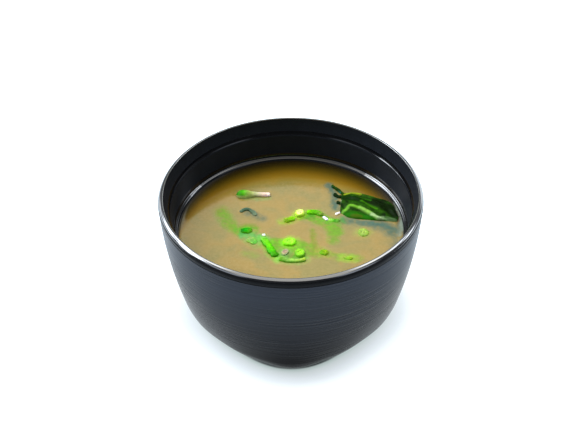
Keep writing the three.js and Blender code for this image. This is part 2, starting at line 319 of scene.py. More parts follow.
bowl = {
    "height": 64.5,
    "rimRadius": 57.5,
    "lipRound": 2.4,
    "lipEdgeRound": 0.25,
    "lipTilt": 10,
    "lipSatin": 0.45,          # how far up its outer round the lip is satin
    "collarFoot": 61.1,
    "collarStep": 0.2,
    "wallDrop": 2.0,
    "wallRadii": (42.8, 51.6, 55.9),           # foot, and the two pulls between it and the rim
    "wallRows": [(1.35, 3.0, 10), (3.4, 12, 24), (12.8, 60.5, 60)],    # lowest, highest and how many
    "heelRound": 9.8,
    "baseCorners": (0.067, 0.011, 0.007),
    "cornerFade": 5,
    "footHeight": 1.3,
    "footOuterRadius": 35.2,
    "footInnerRadius": 31.2,
    "footBevel": 0.4,
    "baseHollow": 1.6,
    "upperRing": {"drop": 6.6, "radius": 53.0, "step": 0.7, "height": 0.8, "round": 0.5, "fillet": 1.4,
                  "below": -0.1},
    "lowerRing": {"drop": 18.1, "radius": 50.9, "step": 1.3, "height": 0.3, "round": 0.66, "fillet": 2.2,
                  "below": 0.7},
    "ringShine": 0.6,          # how much of the fillet above a ring is as glossy as the ring
    "soupDepth": 19.5,
    "soupRadius": 49.0,
    "cupFloor": 5.0,
    "cupPull": (43.4, 28.0),
    "cupRadii": (38.0, 16.0),  # pull at the floor's level, and where the floor is flat
    "segments": 256,
}
soupLevel = bowl["height"] - bowl["soupDepth"]
wallHeight = bowl["height"] - bowl["wallDrop"]

# Black resin rubbed level while it turned. Marks are about 1 mm tall and 60 mm long, in uneven patches.
brushed = {
    "streakSpace": [scaleOf(size) for size in (62.5, 62.5, 1.0)],
    "patchSpace": [scaleOf(size) for size in (38.46, 38.46, 11.11)],
    "streaks": {"Scale": 1.0, "Detail": 3.0, "Roughness": 0.6},
    "patches": {"Scale": 1.0, "Detail": 1.0},
    "pressed": {"From Min": 0.42, "From Max": 0.62, "To Min": 0.3},
    "haze": {"From Min": 9 * mm, "From Max": 54 * mm},
    "smooth": {"To Min": 0.22, "To Max": 0.36},
    "uneven": {"From Min": 0.3, "From Max": 0.7, "To Min": -0.09, "To Max": 0.09},
    "relief": {"Distance": 0.3 * mm},
    # plain wall, and the low and the high parts of the streaks; each from the foot up: near black at the
    # foot as painted shade, and lighter and bluish towards the rim as painted light
    "tones": ({6: "#000000", 7: "#232730"}, {6: "#000000", 7: "#0a0b0f"}, {6: "#020304", 7: "#313640"}),
    "surface": {"IOR": 1.155},
}

# The other finishes of the same resin: colour, faint clouding, roughness, and the IOR that sets how well it
# mirrors the soft boxes. Lip and ring edges shine; the collar and the inside stay near black.
resins = {
    "collar": ("blackResinSatin", "#060709", "#0b0b0d", 0.3, 1.12),
    "polished": ("blackResinPolished", "#0a0b0e", "#0b0b0d", 0.1, 2.6),
    "inside": ("blackResinMoulded", "#1a1d22", "#20242a", 0.3, 1.14),
    "ring": ("blackResinRing", "#0a0b0e", "#0b0b0d", 0.12, 1.5),
    "wet": ("blackResinWet", "#0c0e11", "#0b0b0d", 0.16, 2.0),
}
finishNumber = {name: number for number, name in enumerate(["brushed", *resins])}
clouding = {"Scale": scaleOf(5.0), "Detail": 2.0}

# Where broth has wetted the turned rings: which ring, and from and to which plan angle in degrees
wetPatches = [("lowerRing", 4, 47), ("upperRing", 25, 40), ("lowerRing", 143, 152)]


def bezier(corners, share):
    a, b, c, d = (np.asarray(corner, float) for corner in corners)
    s = np.asarray(share, float)[:, None]
    return a * (1 - s) ** 3 + 3 * b * s * (1 - s) ** 2 + 3 * c * s ** 2 * (1 - s) + d * s ** 3


# The mean radius of the outside at each height: a swelling wall that turns in at the heel
def outsideRadius(height):
    height = np.atleast_1d(np.asarray(height, float))
    radii = [(radius,) for radius in (*bowl["wallRadii"], bowl["rimRadius"])]
    wall = bezier(radii, height / wallHeight)[:, 0]
    below = np.clip(1 - height / bowl["heelRound"], 0, 1)
    return wall - bowl["heelRound"] * (1 - np.sqrt(1 - below ** 2))


def arcPoints(centre, radius, fromDegrees, toDegrees, count):
    angles = np.radians(np.linspace(fromDegrees, toDegrees, count))
    return [(centre[0] + radius * math.cos(a), centre[1] + radius * math.sin(a)) for a in angles]


# Rounds the corners of a profile, each by its own distance along both sides
def roundedProfile(corners, steps=6):
    profile = []
    for i, (radius, height, cut) in enumerate(corners):
        here = np.array((radius, height))
        if cut == 0 or i in (0, len(corners) - 1):
            profile.append(tuple(here))
            continue
        ends = [np.array(corners[k][:2]) for k in (i - 1, i + 1)]
        near = [here + (end - here) * min(cut / np.linalg.norm(end - here), 0.5) for end in ends]
        for t in np.linspace(0, 1, steps):
            profile.append(tuple((1 - t) ** 2 * near[0] + 2 * t * (1 - t) * here + t ** 2 * near[1]))
    return profile


# The cup's side below the soup's level, or a line just outside it
def cupSide(count, outside=0.0):
    pull, flat = bowl["cupRadii"]
    floor = bowl["cupFloor"] - outside
    corners = [(bowl["soupRadius"] + outside, soupLevel), (bowl["cupPull"][0] + outside, bowl["cupPull"][1]),
               (pull + outside, floor), (flat, floor)]
    return bezier(corners, np.linspace(0, 1, count))[1:]


# True for the rows of the profile that belong to one of the turned rings
def onRing(heights, ring):
    ringTop = bowl["height"] - ring["drop"]
    low, high = ringTop - ring["height"] - ring["below"], ringTop + bowl["ringShine"] * ring["fillet"]
    return (heights > low) & (heights < high)


def lipProfile():
    tilt = math.radians(bowl["lipTilt"])
    apart = bowl["lipRound"] - bowl["lipEdgeRound"]
    outerCentre = (bowl["rimRadius"] - bowl["lipRound"],
                   bowl["height"] - bowl["lipEdgeRound"] - apart * math.cos(tilt))
    edgeCentre = (outerCentre[0] + apart * math.sin(tilt), bowl["height"] - bowl["lipEdgeRound"])
    outer = arcPoints(outerCentre, bowl["lipRound"], 0, 90 - bowl["lipTilt"], 19)
    edge = arcPoints(edgeCentre, bowl["lipEdgeRound"], 90 - bowl["lipTilt"], 180, 9)
    return outer, edge[1:]


# The profile from the middle of the base, round the lip, to the middle of the cup, and each point's finish
def bowlProfile():
    bevel = bowl["footBevel"]
    # each corner: radius, height and how much it is rounded
    foot = roundedProfile([
        (0, bowl["baseHollow"], 0),
        (bowl["footInnerRadius"] - 1, bowl["baseHollow"], 0.8),
        (bowl["footInnerRadius"], bevel, 0.2),
        (bowl["footInnerRadius"] + bevel, 0, 0.15),
        (bowl["footOuterRadius"] - bevel, 0, 0.15),
        (bowl["footOuterRadius"], bevel, 0.2),
        (bowl["footOuterRadius"], bowl["footHeight"], 0),
    ], 4)
    heights = np.concatenate([np.linspace(*rows) for rows in bowl["wallRows"]])
    wall = list(zip(outsideRadius(heights), heights))
    collarFoot, collarStep = bowl["collarFoot"], bowl["collarStep"]
    collarRadius = outsideRadius(collarFoot)[0]
    outerLip, lipEdge = lipProfile()
    collar = roundedProfile([
        (outsideRadius(collarFoot - 0.5)[0], collarFoot - 0.5, 0),
        (collarRadius - collarStep, collarFoot - collarStep, 0.12),
        (collarRadius + 0.02, collarFoot + 0.05, 0.12),
        (outerLip[0][0], outerLip[0][1] - 0.1, 0),
    ], 4)
    inside = [(*lipEdge[-1], 0)]
    turnedRings = [bowl["upperRing"], bowl["lowerRing"]]
    for ring in turnedRings:
        ringTop = bowl["height"] - ring["drop"]
        inside.append((ring["radius"], ringTop, ring["fillet"]))
        inside.append((ring["radius"] - ring["step"], ringTop - ring["height"], ring["round"]))
    inside.append((bowl["soupRadius"], soupLevel, 0))
    inner = roundedProfile(inside, 9)[1:]
    parts = [("brushed", foot), ("brushed", wall), ("collar", collar), ("polished", outerLip),
             ("polished", lipEdge), ("inside", inner), ("inside", cupSide(24)),
             ("inside", [(0, bowl["cupFloor"])])]
    profile = np.vstack([part for _, part in parts])
    finish = np.concatenate([[finishNumber[name]] * len(part) for name, part in parts])
    satinTop = outerLip[0][1] + bowl["lipSatin"] * bowl["lipRound"]
    finish[(finish == finishNumber["polished"]) & (profile[:, 1] < satinTop)] = finishNumber["collar"]
    for ring in turnedRings:
        finish[(finish == finishNumber["inside"]) & onRing(profile[:, 1], ring)] = finishNumber["ring"]
    return profile, len(foot), finish


# Moulded black resin, faintly clouded: deep black, and as sharp a mirror as its finish gives
def blackResin(add, place, values):
    _, colour, cloudColour, roughness, ior = values
    cloud = add("TexNoise", {"Vector": place, **clouding})
    shade = add("Mix", {0: cloud, 6: colour, 7: cloudColour}, data_type="RGBA")
    return {"Base Color": shade, "Roughness": roughness, "IOR": ior}


# The brushed wall: satin, bluish where it mirrors the table, with level streaks; its colour also carries
# painted shade at the foot and painted light towards the rim
def brushedResin(add, place, values):
    height = add("SeparateXYZ", {0: place}).outputs["Z"]
    streakSpace, patchSpace = (add("VectorMath", {0: place, 1: values[key]}, operation="MULTIPLY")
                               for key in ("streakSpace", "patchSpace"))
    streaks = add("TexNoise", {"Vector": streakSpace, **values["streaks"]})
    patches = add("TexNoise", {"Vector": patchSpace, **values["patches"]})
    pressed = add("MapRange", {"Value": patches, **values["pressed"]}, interpolation_type="SMOOTHSTEP")
    haze = add("MapRange", {"Value": height, **values["haze"]})
    plain, low, high = (add("Mix", {0: haze, **tones}, data_type="RGBA") for tones in values["tones"])
    streakColour = add("Mix", {0: streaks, 6: low, 7: high}, data_type="RGBA")
    colour = add("Mix", {0: pressed, 6: plain, 7: streakColour}, data_type="RGBA")
    smooth = add("MapRange", {"Value": haze, **values["smooth"]})
    uneven = add("MapRange", {"Value": streaks, **values["uneven"]})
    roughness = add("Math", {0: uneven, 1: pressed, 2: smooth}, operation="MULTIPLY_ADD")
    relief = add("Bump", {"Strength": pressed, "Height": streaks, **values["relief"]})
    return {"Base Color": colour, "Roughness": roughness, "Normal": relief, **values["surface"]}


def makeBowl():
    profile, footCount, finish = bowlProfile()
    angles = fullTurn(bowl["segments"])
    wave = sum(share * np.cos(4 * (i + 1) * angles) for i, share in enumerate(bowl["baseCorners"]))
    heights = profile[:, 1].copy()
    heights[:footCount] = 0
    squareness = np.clip(1 - heights / wallHeight, 0, 1) ** bowl["cornerFade"]
    squareness[int(np.argmax(profile[:, 1])):] = 0
    turned = profile[1:-1]
    radius = turned[:, :1] * (1 + squareness[1:-1, None] * wave)
    rows, columns = radius.shape
    level = np.repeat(turned[:, 1:], columns, axis=1)
    grid = np.dstack([radius * np.cos(angles), radius * np.sin(angles), level])
    points = np.vstack([grid.reshape(-1, 3), [(0, 0, profile[0, 1]), (0, 0, profile[-1, 1])]])
    bands = np.repeat(finish[2:-1, None], columns, axis=1)
    turn = np.degrees(angles)
    for ringName, fromTurn, toTurn in wetPatches:
        rowsOnRing = onRing(turned[1:, 1], bowl[ringName]) & (finish[2:-1] == finishNumber["ring"])
        bands[np.ix_(rowsOnRing, (turn > fromTurn) & (turn < toTurn))] = finishNumber["wet"]
    ends = [finishNumber["brushed"]] * columns + [finishNumber["inside"]] * columns
    materials = [newMaterial("blackResinBrushed", brushedResin, brushed)]
    materials += [newMaterial(values[0], blackResin, values) for values in resins.values()]
    piece = addMesh("black_bowl", points, tubeFaces(rows, columns), materials,
                    faceFinish=np.append(bands.ravel(), ends))
    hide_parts("bowl")
    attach(piece, "root")
    print("bowl:", rows, "rows of", columns)


# Sliced scallion: slices of the hollow stalk. The soup round them is shaped from these values too.
ringValues = ("at", "across", "along", "turn", "wall", "tall", "rise", "skin", "flesh")
rings = {
    "scallion_ring_front": ((3.8, -16.8), 4.6, 5.4, 10, 1.6, 2.4, 1.2, "#68a81e", "#8ed02e"),
    "scallion_ring_low": ((-2.7, -15.8), 3.2, 4.6, -25, 1.1, 1.7, 0.6, "#76985a", "#b0987a"),
    "scallion_ring_middle": ((-0.7, -9.2), 6.2, 5.0, 8, 2.1, 2.2, 1.1, "#7cd608", "#98e638"),
    "scallion_ring_back": ((3.9, 10.2), 4.2, 4.6, -20, 1.6, 2.5, 1.5, "#aee024", "#eef69a"),
    "scallion_ring_right": ((31.6, -2.8), 4.8, 5.6, 0, 1.9, 1.8, 0.5, "#84a63a", "#98b450"),
}
rings = {name: dict(zip(ringValues, row)) for name, row in rings.items()}

# Cut strips of the skin, each along a line in plan; the tones run from its first end to its last
stripValues = ("wide", "tall", "rise", "arch", "edge", "tones", "line")
strips = {
    "scallion_skin_left": (3.6, 1.3, 0.8, 0.3, "#4c9a10", ("#0a7000", "#0ea000", "#5f9410"),
                           [(-21.9, -1.3), (-19.4, -0.8), (-17.0, -1.2)]),
    "scallion_flat": (4.0, 0.9, 0.6, 0.2, "#86b048", ("#7b8450", "#72a446", "#6cc44e"),
                      [(-18.6, -5.9), (-17.0, -7.8), (-15.2, -9.6)]),
    "scallion_strip_long": (3.4, 1.3, 1.0, 0.4, "#3c9a08", ("#6cba30", "#62c004", "#4cb802", "#368002"),
                            [(-12.2, -6.4), (-10.2, -10.8), (-8.4, -15.2), (-6.4, -18.7)]),
    "scallion_strip_front": (2.2, 1.5, 1.0, 0, "#5aa61a", ("#5a9210", "#88b850", "#a0b43c"),
                             [(-5.2, -20.3), (-2.8, -21.3), (0.2, -21.8), (3.4, -21.6), (6.2, -20.5)]),
    "scallion_back_left": (2.8, 1.4, 1.0, 0, "#86bc14", ("#74881e", "#7cbc02", "#7acc02"),
                           [(-3.0, 5.4), (-0.4, 6.4), (1.7, 7.6)]),
    "scallion_back_right": (2.8, 1.5, 1.1, 0, "#5cb80c", ("#7cd402", "#52a206", "#728c30"),
                            [(7.0, 11.0), (9.4, 11.4), (12.0, 10.8), (14.0, 9.0)]),
    "scallion_sliver": (2.8, 1.2, 0.5, 0, "#62b414", ("#a4d458", "#409410", "#6c963e"),
                        [(16.4, 6.2), (19.0, 5.6), (21.6, 5.4)]),
    "scallion_wedge": (3.4, 1.6, 0.9, 0, "#66b414", ("#5c9c14", "#769e04", "#9cbc28"),
                       [(12.6, -15.2), (14.3, -16.2), (16.0, -16.9)]),
    "scallion_chip": (2.1, 1.2, 0.6, 0, "#70b41c", ("#8e8c48", "#94c830", "#98a424"),
                      [(22.5, -19.6), (24.4, -20.1), (26.4, -20.0)]),
}
strips = {name: dict(zip(stripValues, row)) for name, row in strips.items()}

# The end of a stalk lying along X: shares of its length with the width there, green bulb first
stalkEnd = {
    "at": (-16.7, 23.9),
    "rise": 0.4,
    "long": 15.2,
    "flatness": 1.2,
    "widths": [(0, 1.2), (0.06, 2.8), (0.17, 4.1), (0.3, 3.9), (0.45, 2.9), (0.65, 2.2), (0.92, 2.0),
               (1, 1.3)],
    "endRound": 0.025,
    "bend": (0.1, 5),          # how far it bends aside, and how many radians of a wave
    "tones": ("#34801e", "#46a404", "#98a854", "#b8b888", "#e4c8b4", "#ffe0d8"),
    "edge": "#b3c877",
    "edgeFrom": 0.75,
    "edgeUntil": 0.45,         # share of the length, from the bulb
}

# Small pale bits that only just break the surface; their white tones are painted glints
bits = {
    "tall": 0.9,
    "rise": 0.65,
    "each": [
        {"line": [(-12.7, -4.3), (-11.1, -3.9)], "wide": 1.5, "tone": "#f0f6e4"},
        {"line": [(14.2, 8.2), (15.2, 7.2), (16.2, 5.9)], "wide": 1.3, "tone": "#ffffff"},
        {"line": [(19.6, 9.6), (20.6, 10.3), (21.7, 11.2)], "wide": 1.3, "tone": "#fff2f2"},
    ],
}

shred = {
    "wide": 1.8,
    "tall": 0.9,
    "rise": 0.6,
    "arch": 0.3,
    "line": [(-22.4, 12.0), (-20.8, 13.5), (-18.6, 13.6), (-16.7, 11.8), (-15.4, 9.4)],
    "tones": ("#586c50", "#445c42", "#44583e", "#58684c", "#7c8c6c"),
    "edge": "#7c9488",
    "edgeFrom": 0.2,
    "edgeShare": 0.6,
    "cover": 0.85,             # how much of its own mottle these tones hide
}

leaf = {
    "thickness": 0.6,
    "edgeThickness": 0.35,     # share of the thickness that is left at the edge
    "edgeRows": 4,
    "rib": [(22.0, 15.0, 1.5), (26.6, 15.9, 2.3), (33.2, 11.3, 2.1), (40.0, 7.6, 1.3), (47.0, 5.6, 0.5)],
    "back": [(22.8, 24.0, 0.8), (29.8, 22.9, 1.3), (37.8, 19.6, 1.2), (44.4, 16.4, 0.8), (47.5, 7.4, 0.5)],
    "front": [(21.8, 11.0, 0.1), (25.4, 7.6, 0.0), (32.0, 6.2, 0.0), (39.6, 5.2, 0.05), (46.6, 4.2, 0.1)],
    "stalk": {"wide": 1.3, "tall": 1.6, "rise": 1.1},
    "frill": {"wide": 1.7, "tall": 0.9, "rise": 0.8},
    # the stalk's line, then the frills'
    "loose": [[(18.4, 29.9), (21.0, 27.2), (23.6, 23.4)], [(19.4, 24.4), (20.9, 22.5), (23.4, 21.6)],
              [(20.4, 18.6), (22.6, 17.2)]],
    "frillTone": "#0a2206",
    "ribShare": 0.4,           # where the rib lies between the front edge, 0, and the back edge, 1
    "ripple": 0.35,
    "rippleAlong": 3,
    "rippleAcross": 2,
    "paleRib": [(23.9, 11.4), (26.2, 13.7), (30.4, 12.2), (34.4, 9.0), (38.4, 6.6), (44.0, 5.4)],
    "ribHeight": 0.35,
    "ribWidth": 1.0,
    "ribFade": 0.75,           # from here to the tip the rib sinks in
    "foldHeight": 0.28,        # folds that run beside the rib
    "folds": 3.2,
    "foldSway": (2.2, 4),
    "foldStart": (0.1, 0.25),
    "foldFade": 0.6,
    "wrinkle": 0.16,
    "wrinkleSize": 2.0,
    "curl": 0.3,               # of the back edge, over this last share of its width
    "curlShare": 0.1,
    "rows": 141,
    "columns": 101,
}


def leafSurface(u, v):
    alongRib, alongFront, alongBack = (alongLine(leaf[key], u) for key in ("rib", "front", "back"))
    ribShare = leaf["ribShare"]
    toFront = v < ribShare
    share = np.where(toFront, (ribShare - v) / ribShare, (v - ribShare) / (1 - ribShare))
    edge = np.where(toFront[:, None], alongFront, alongBack)
    place = alongRib + (edge - alongRib) * share[:, None]
    wave = np.sin(2 * math.pi * (leaf["rippleAlong"] * u + leaf["rippleAcross"] * v))
    place[:, 2] += soupLevel + leaf["ripple"] * np.sin(math.pi * share) * wave
    return place


def distanceToLine(points, line):
    samples = alongLine(line, np.linspace(0, 1, 40))
    return np.min(np.linalg.norm(points[:, None, :] - samples[None], axis=2), axis=1)


# How far each point in the soup's surface is from the nearest thing that floats in it
def distanceToFloating(points):
    gaps = [distanceToLine(points, strip["line"]) - strip["wide"] / 2
            for strip in [*strips.values(), shred, *bits["each"]]]
    for ring in rings.values():
        turn = math.radians(ring["turn"])
        x, y = (points - ring["at"]).T
        x, y = x * math.cos(turn) + y * math.sin(turn), y * math.cos(turn) - x * math.sin(turn)
        fromMiddle = np.hypot(x, y * ring["across"] / ring["along"])
        gaps.append(np.abs(fromMiddle - (ring["across"] - ring["wall"]) / 2) - ring["wall"] / 2)
    along = (points[:, 0] - stalkEnd["at"][0]) / stalkEnd["long"] + 0.5
    half = np.interp(along, *zip(*stalkEnd["widths"])) / 2 * stalkEnd["flatness"]
    aside = np.abs(points[:, 1] - stalkEnd["at"][1]) - half
    past = np.maximum(np.abs(along - 0.5) - 0.5, 0) * stalkEnd["long"]
    gaps.append(np.hypot(np.maximum(aside, 0), past))
    u, v = np.meshgrid(np.linspace(0, 1, 60), np.linspace(0, 1, 30))
    blade = leafSurface(u.ravel(), v.ravel())[:, :2]
    bladeSpacing = 0.4
    gaps.append(np.concatenate([
        np.min(np.linalg.norm(part[:, None] - blade, axis=2), axis=1) - bladeSpacing
        for part in np.array_split(points, 40)]))
    return np.maximum(np.min(gaps, axis=0), 0)


strokeForm = {
    "edge": [(1, 3.0, 4.2), (0.4, 1.3, 6.4)],  # how strong, the size and the seed of what makes it ragged
    "patchSize": 1.7,
    "patchRange": (-0.1, 0.5),
    "mottleSize": 1.0,
    "mottle": 0.5,
}


# Tones blended by a share for each point, from 0, the first tone, to 1, the last, or at the places given
def blendTones(codes, shares, places=None):
    places = np.linspace(0, 1, len(codes)) if places is None else places
    return np.column_stack([np.interp(shares, places, tones) for tones in toneRows(codes).T])


# Soft strokes of colour in plan: each is strongest along its line and ragged at its edge.
# Gives the colour of each point, with how strongly it covers what lies under it as the fourth number.
def strokeTints(points, strokes, raggedness=0.9, patchiness=0.45):
    ragged = sum(strength * softNoise(points, size, seed) for strength, size, seed in strokeForm["edge"])
    patches = softNoise(points, strokeForm["patchSize"], 9.1)
    patches = 1 - patchiness * smoothStep(patches, *strokeForm["patchRange"])
    mottle = 1 + strokeForm["mottle"] * patchiness * softNoise(points, strokeForm["mottleSize"], 2.6)
    colour = np.zeros((len(points), 3))
    clear = np.ones(len(points))
    for line, wide, soft, code, strength in reversed(strokes):
        gap = distanceToLine(points, line) + raggedness * ragged
        share = strength * patches * (1 - smoothStep(gap, (wide - soft) / 2, (wide + soft) / 2))
        colour += (share * clear)[:, None] * toneRows([code])
        clear *= 1 - share
    share = 1 - clear
    return np.column_stack([colour * (mottle / np.maximum(share, 1e-6))[:, None], share])


soup = {
    "intoWall": 0.3,
    "rings": 150,
    "segments": 448,
    "crowding": 1.15,          # above 1, rings lie closer together at the wall, where the soup climbs
    "wallMeniscus": 0.3,
    "wallMeniscusReach": 1.0,
    "pieceMeniscus": 0.09,
    "pieceMeniscusReach": 0.6,
    "swell": 0.015,
    "swellSize": 9.0,
    # painted shade, darker and browner towards the far wall, which shades the broth there: the distance from
    # it, the tone and its cover
    "farWallShade": [(0, "#0a0805", 0.98), (3, "#2a2103", 0.96), (6, "#483700", 0.93), (9, "#674b00", 0.88),
                   (12, "#7a5c06", 0.78), (14.5, "#80691c", 0.5), (16.5, "#7d7037", 0.0)],
    "halo": {"wider": 1.9, "soft": 3.8, "strength": 0.5},     # what each floating piece lends the broth
}

broth = {
    # clouds and grains of bean paste
    "clouds": {"Scale": scaleOf(13.333), "Detail": 3.0, "Roughness": 0.55, "Distortion": 0.6},
    "cloudShare": {"From Min": 0.34, "From Max": 0.66},
    "colours": {6: "#7d7037", 7: "#8f7433"},
    "grains": {"Scale": scaleOf(1.1111), "Detail": 2.0},
    "grainShare": {"From Min": 0.35, "From Max": 0.75, "To Max": 0.22},
    "grainColour": "#a98f5a",
    "roughness": {"To Min": 0.1, "To Max": 0.6},       # clear broth, and where pulp lies in its surface
    "surface": {"IOR": 1.34},
}

# What the greens lend the broth where they hang in it, or lie just under its surface
sunkTones = {
    "leek": "#62941a",
    "leekDeep": "#357e04",
    "leekPale": "#58985a",
    "olive": "#6a831a",
    "kelp": "#235a56",
    "root": "#9c7456",
    "thick": "#80652a",
    "milk": "#8f9b8c",
}

# The line in plan, the width and the softness in millimetres, the tone, and how strongly it covers the broth
sunkGreens = [
    ([(-24, -36), (-8, -43), (12, -43), (30, -33)], 14.0, 12.0, "thick", 0.7),
    # a darker teal band along the right wall, in the kelp tone
    ([(47.5, 3), (46.5, -5), (44.0, -14), (40.5, -20)], 3.4, 3.6, "kelp", 0.4),
    ([(46.6, 17.0), (48.2, 9.6), (48.6, 2.6), (47.2, -4.2)], 2.2, 2.0, "milk", 0.6),
    ([(23.4, 6.2), (30.3, 4.3), (36.9, 3.9), (42.5, 2.0), (45.0, -0.8)], 4.4, 4.4, "kelp", 0.7),
    ([(35, 3.2), (40, 0.6), (43.5, -3.0)], 4.8, 4.8, "kelp", 0.65),
    ([(16.8, 30.8), (18.6, 26.4), (19.6, 20.6), (19.8, 15.0)], 3.6, 3.2, "kelp", 0.75),
    ([(-30.5, 13.0), (-28.2, 6.4), (-25.0, 1.4), (-21.4, -2.2)], 5.6, 5.2, "leek", 0.8),
    ([(-20.0, -3.8), (-16.5, -5.4), (-12.5, -6.6)], 6.0, 3.4, "leekPale", 0.85),
    ([(-22.0, 1.2), (-19.0, 2.2), (-15.5, 1.6)], 3.0, 3.0, "olive", 0.6),
    ([(-18.6, 11.6), (-15.4, 9.9), (-12.8, 7.8)], 4.6, 3.6, "kelp", 0.5),
    ([(8.0, 8.6), (13.6, 5.3), (17.9, 2.4), (20.4, -1.8)], 5.4, 4.0, "leek", 0.85),
    ([(4.7, 8.2), (9.2, 9.0)], 3.8, 3.0, "leekDeep", 0.8),
    ([(17.5, 0.4), (18.4, -4.8), (18.5, -8.2)], 4.4, 3.8, "leek", 0.7),
    ([(9.5, -0.9), (9.8, -11.1), (9.4, -17.0)], 2.8, 2.6, "olive", 0.7),
    ([(-6.5, -9.0), (-3.0, -12.6)], 4.0, 3.2, "leek", 0.75),
    ([(-4.5, -12.6), (-2.3, -15.3)], 3.0, 2.4, "root", 0.6),
    ([(-6.0, -8.8), (-2.2, -12.6), (2, -13.7), (4.7, -11.7)], 6.0, 3.6, "leek", 0.9),
    ([(-4.2, -18.4), (0.5, -19.2), (4.8, -19.4)], 4.2, 3.0, "leekDeep", 0.85),
    ([(-7.5, -10), (-6.0, -14), (-4.9, -19)], 3.4, 3.0, "leek", 0.75),
    ([(2.6, -9.0), (6.4, -11.6), (7.0, -16.4)], 4.0, 3.6, "leek", 0.7),
    ([(11.0, -17.5), (15.0, -17.2)], 3.6, 3.0, "leek", 0.6),
    ([(20.3, -19.3), (28.4, -19.7)], 4.6, 3.6, "leek", 0.6),
    ([(-21.5, 22.2), (-15, 21.6), (-10, 21.9)], 2.6, 2.6, "leekPale", 0.4),
    ([(-19.5, -16.3), (-15.3, -17.4)], 3.6, 3.6, "leek", 0.35),
]


# Cloudy miso broth: milky tan, with a wet skin that mirrors the light, broken where pulp lies in it
def cloudyBroth(add, place, values):
    clouds = add("TexNoise", {"Vector": place, **values["clouds"]})
    grains = add("TexNoise", {"Vector": place, **values["grains"]})
    cloudShare = add("MapRange", {"Value": clouds, **values["cloudShare"]}, interpolation_type="SMOOTHSTEP")
    milky = add("Mix", {0: cloudShare, **values["colours"]}, data_type="RGBA")
    grainShare = add("MapRange", {"Value": grains, **values["grainShare"]})
    grainy = add("Mix", {0: grainShare, 6: milky, 7: values["grainColour"]}, data_type="RGBA")
    tint = add("Attribute", attribute_name="tint").outputs
    colour = add("Mix", {0: tint["Alpha"], 6: grainy, 7: tint["Color"]}, data_type="RGBA")
    pulp = add("Attribute", attribute_name="pulp").outputs["Fac"]
    roughness = add("MapRange", {"Value": pulp, **values["roughness"]})
    return {"Base Color": colour, "Roughness": roughness, **values["surface"]}


# A stroke of its own tone round each floating slice, so that it fades into the broth
def haloStrokes():
    halo = soup["halo"]
    lines = [(strip["line"], strip["wide"], strip["tones"][1]) for strip in strips.values()]
    for ring in rings.values():
        x, y = ring["at"]
        lines.append(([(x - 0.1, y), (x + 0.1, y)], ring["across"], ring["skin"]))
    return [(line, wide + halo["wider"], halo["soft"], tone, halo["strength"]) for line, wide, tone in lines]


# The colours that the broth takes on: painted shade, dark and brown, at the far wall, and green over what is
# sunk in it
def brothTints(plan):
    fromWall = np.sqrt(np.clip(bowl["soupRadius"] ** 2 - plan[:, 0] ** 2, 0, None)) - plan[:, 1]
    places, codes, covers = zip(*soup["farWallShade"])
    far = blendTones(codes, fromWall, places)
    cover = np.interp(fromWall, places, covers)[:, None]
    strokes = [(line, wide, soft, sunkTones[tone], share) for line, wide, soft, tone, share in sunkGreens]
    green = strokeTints(plan, strokes + haloStrokes())
    share = green[:, 3:]
    total = share + (1 - share) * cover
    colour = (green[:, :3] * share + far * (1 - share) * cover) / np.maximum(total, 1e-6)
    return np.column_stack([colour, total]), np.repeat(share, 4, axis=1)


def makeSoup():
    intoWall = soup["intoWall"]
    edge = bowl["soupRadius"] + intoWall
    steps = np.linspace(0, 1, soup["rings"] + 1)[1:]
    radii = edge * (1 - (1 - steps) ** soup["crowding"])
    angles = fullTurn(soup["segments"])
    plan = np.column_stack([np.outer(radii, turn(angles)).ravel() for turn in (np.cos, np.sin)])
    toWall = np.repeat(np.maximum(bowl["soupRadius"] - radii, 0), len(angles))
    near = distanceToFloating(plan)
    rise = soup["wallMeniscus"] * np.exp(-toWall / soup["wallMeniscusReach"])
    rise += soup["pieceMeniscus"] * np.exp(-near / soup["pieceMeniscusReach"])
    rise += soup["swell"] * softNoise(plan, soup["swellSize"], 1.7)
    top = np.column_stack([plan, soupLevel + rise])
    side = cupSide(14, intoWall)
    below = np.array([(r * math.cos(a), r * math.sin(a), z) for r, z in side for a in angles])
    points = np.vstack([top, below, [(0, 0, soupLevel), (0, 0, side[-1][1])]])
    tint, pulp = np.zeros((2, len(points), 4))
    tint[:len(plan)], pulp[:len(plan)] = brothTints(plan)
    piece = addMesh("miso_broth", points, tubeFaces(len(radii) + len(side), len(angles), flip=True),
                    [newMaterial("cloudyMisoBroth", cloudyBroth, broth)], {"tint": tint, "pulp": pulp})
    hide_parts("soup")
    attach(piece, "root")
    print("soup:", len(points), "points")


wakame = {
    "frond": {6: "#0f2406", 7: "#2a5a06"},
    "scrap": {6: "#1f4139", 7: "#5d8a80"},
    "mottle": {"Scale": scaleOf(2.381), "Detail": 4.0, "Roughness": 0.6},
    "mottleShare": {"From Min": 0.35, "From Max": 0.7},
    "relief": {"Strength": 0.5, "Distance": 0.2 * mm},
    "surface": {"Roughness": 0.45, "IOR": 1.1},
}


# Wet wakame: mottled leathery green, with a soft gloss where the broth runs off it
def wetWakame(add, place, colours):
    mottle = add("TexNoise", {"Vector": place, **wakame["mottle"]})
    mottleShare = add("MapRange", {"Value": mottle, **wakame["mottleShare"]})
    blade = add("Mix", {0: mottleShare, **colours}, data_type="RGBA")
    tint = add("Attribute", attribute_name="tint").outputs
    colour = add("Mix", {0: tint["Alpha"], 6: blade, 7: tint["Color"]}, data_type="RGBA")
    relief = add("Bump", {"Height": mottle, **wakame["relief"]})
    return {"Base Color": colour, "Normal": relief, **wakame["surface"]}


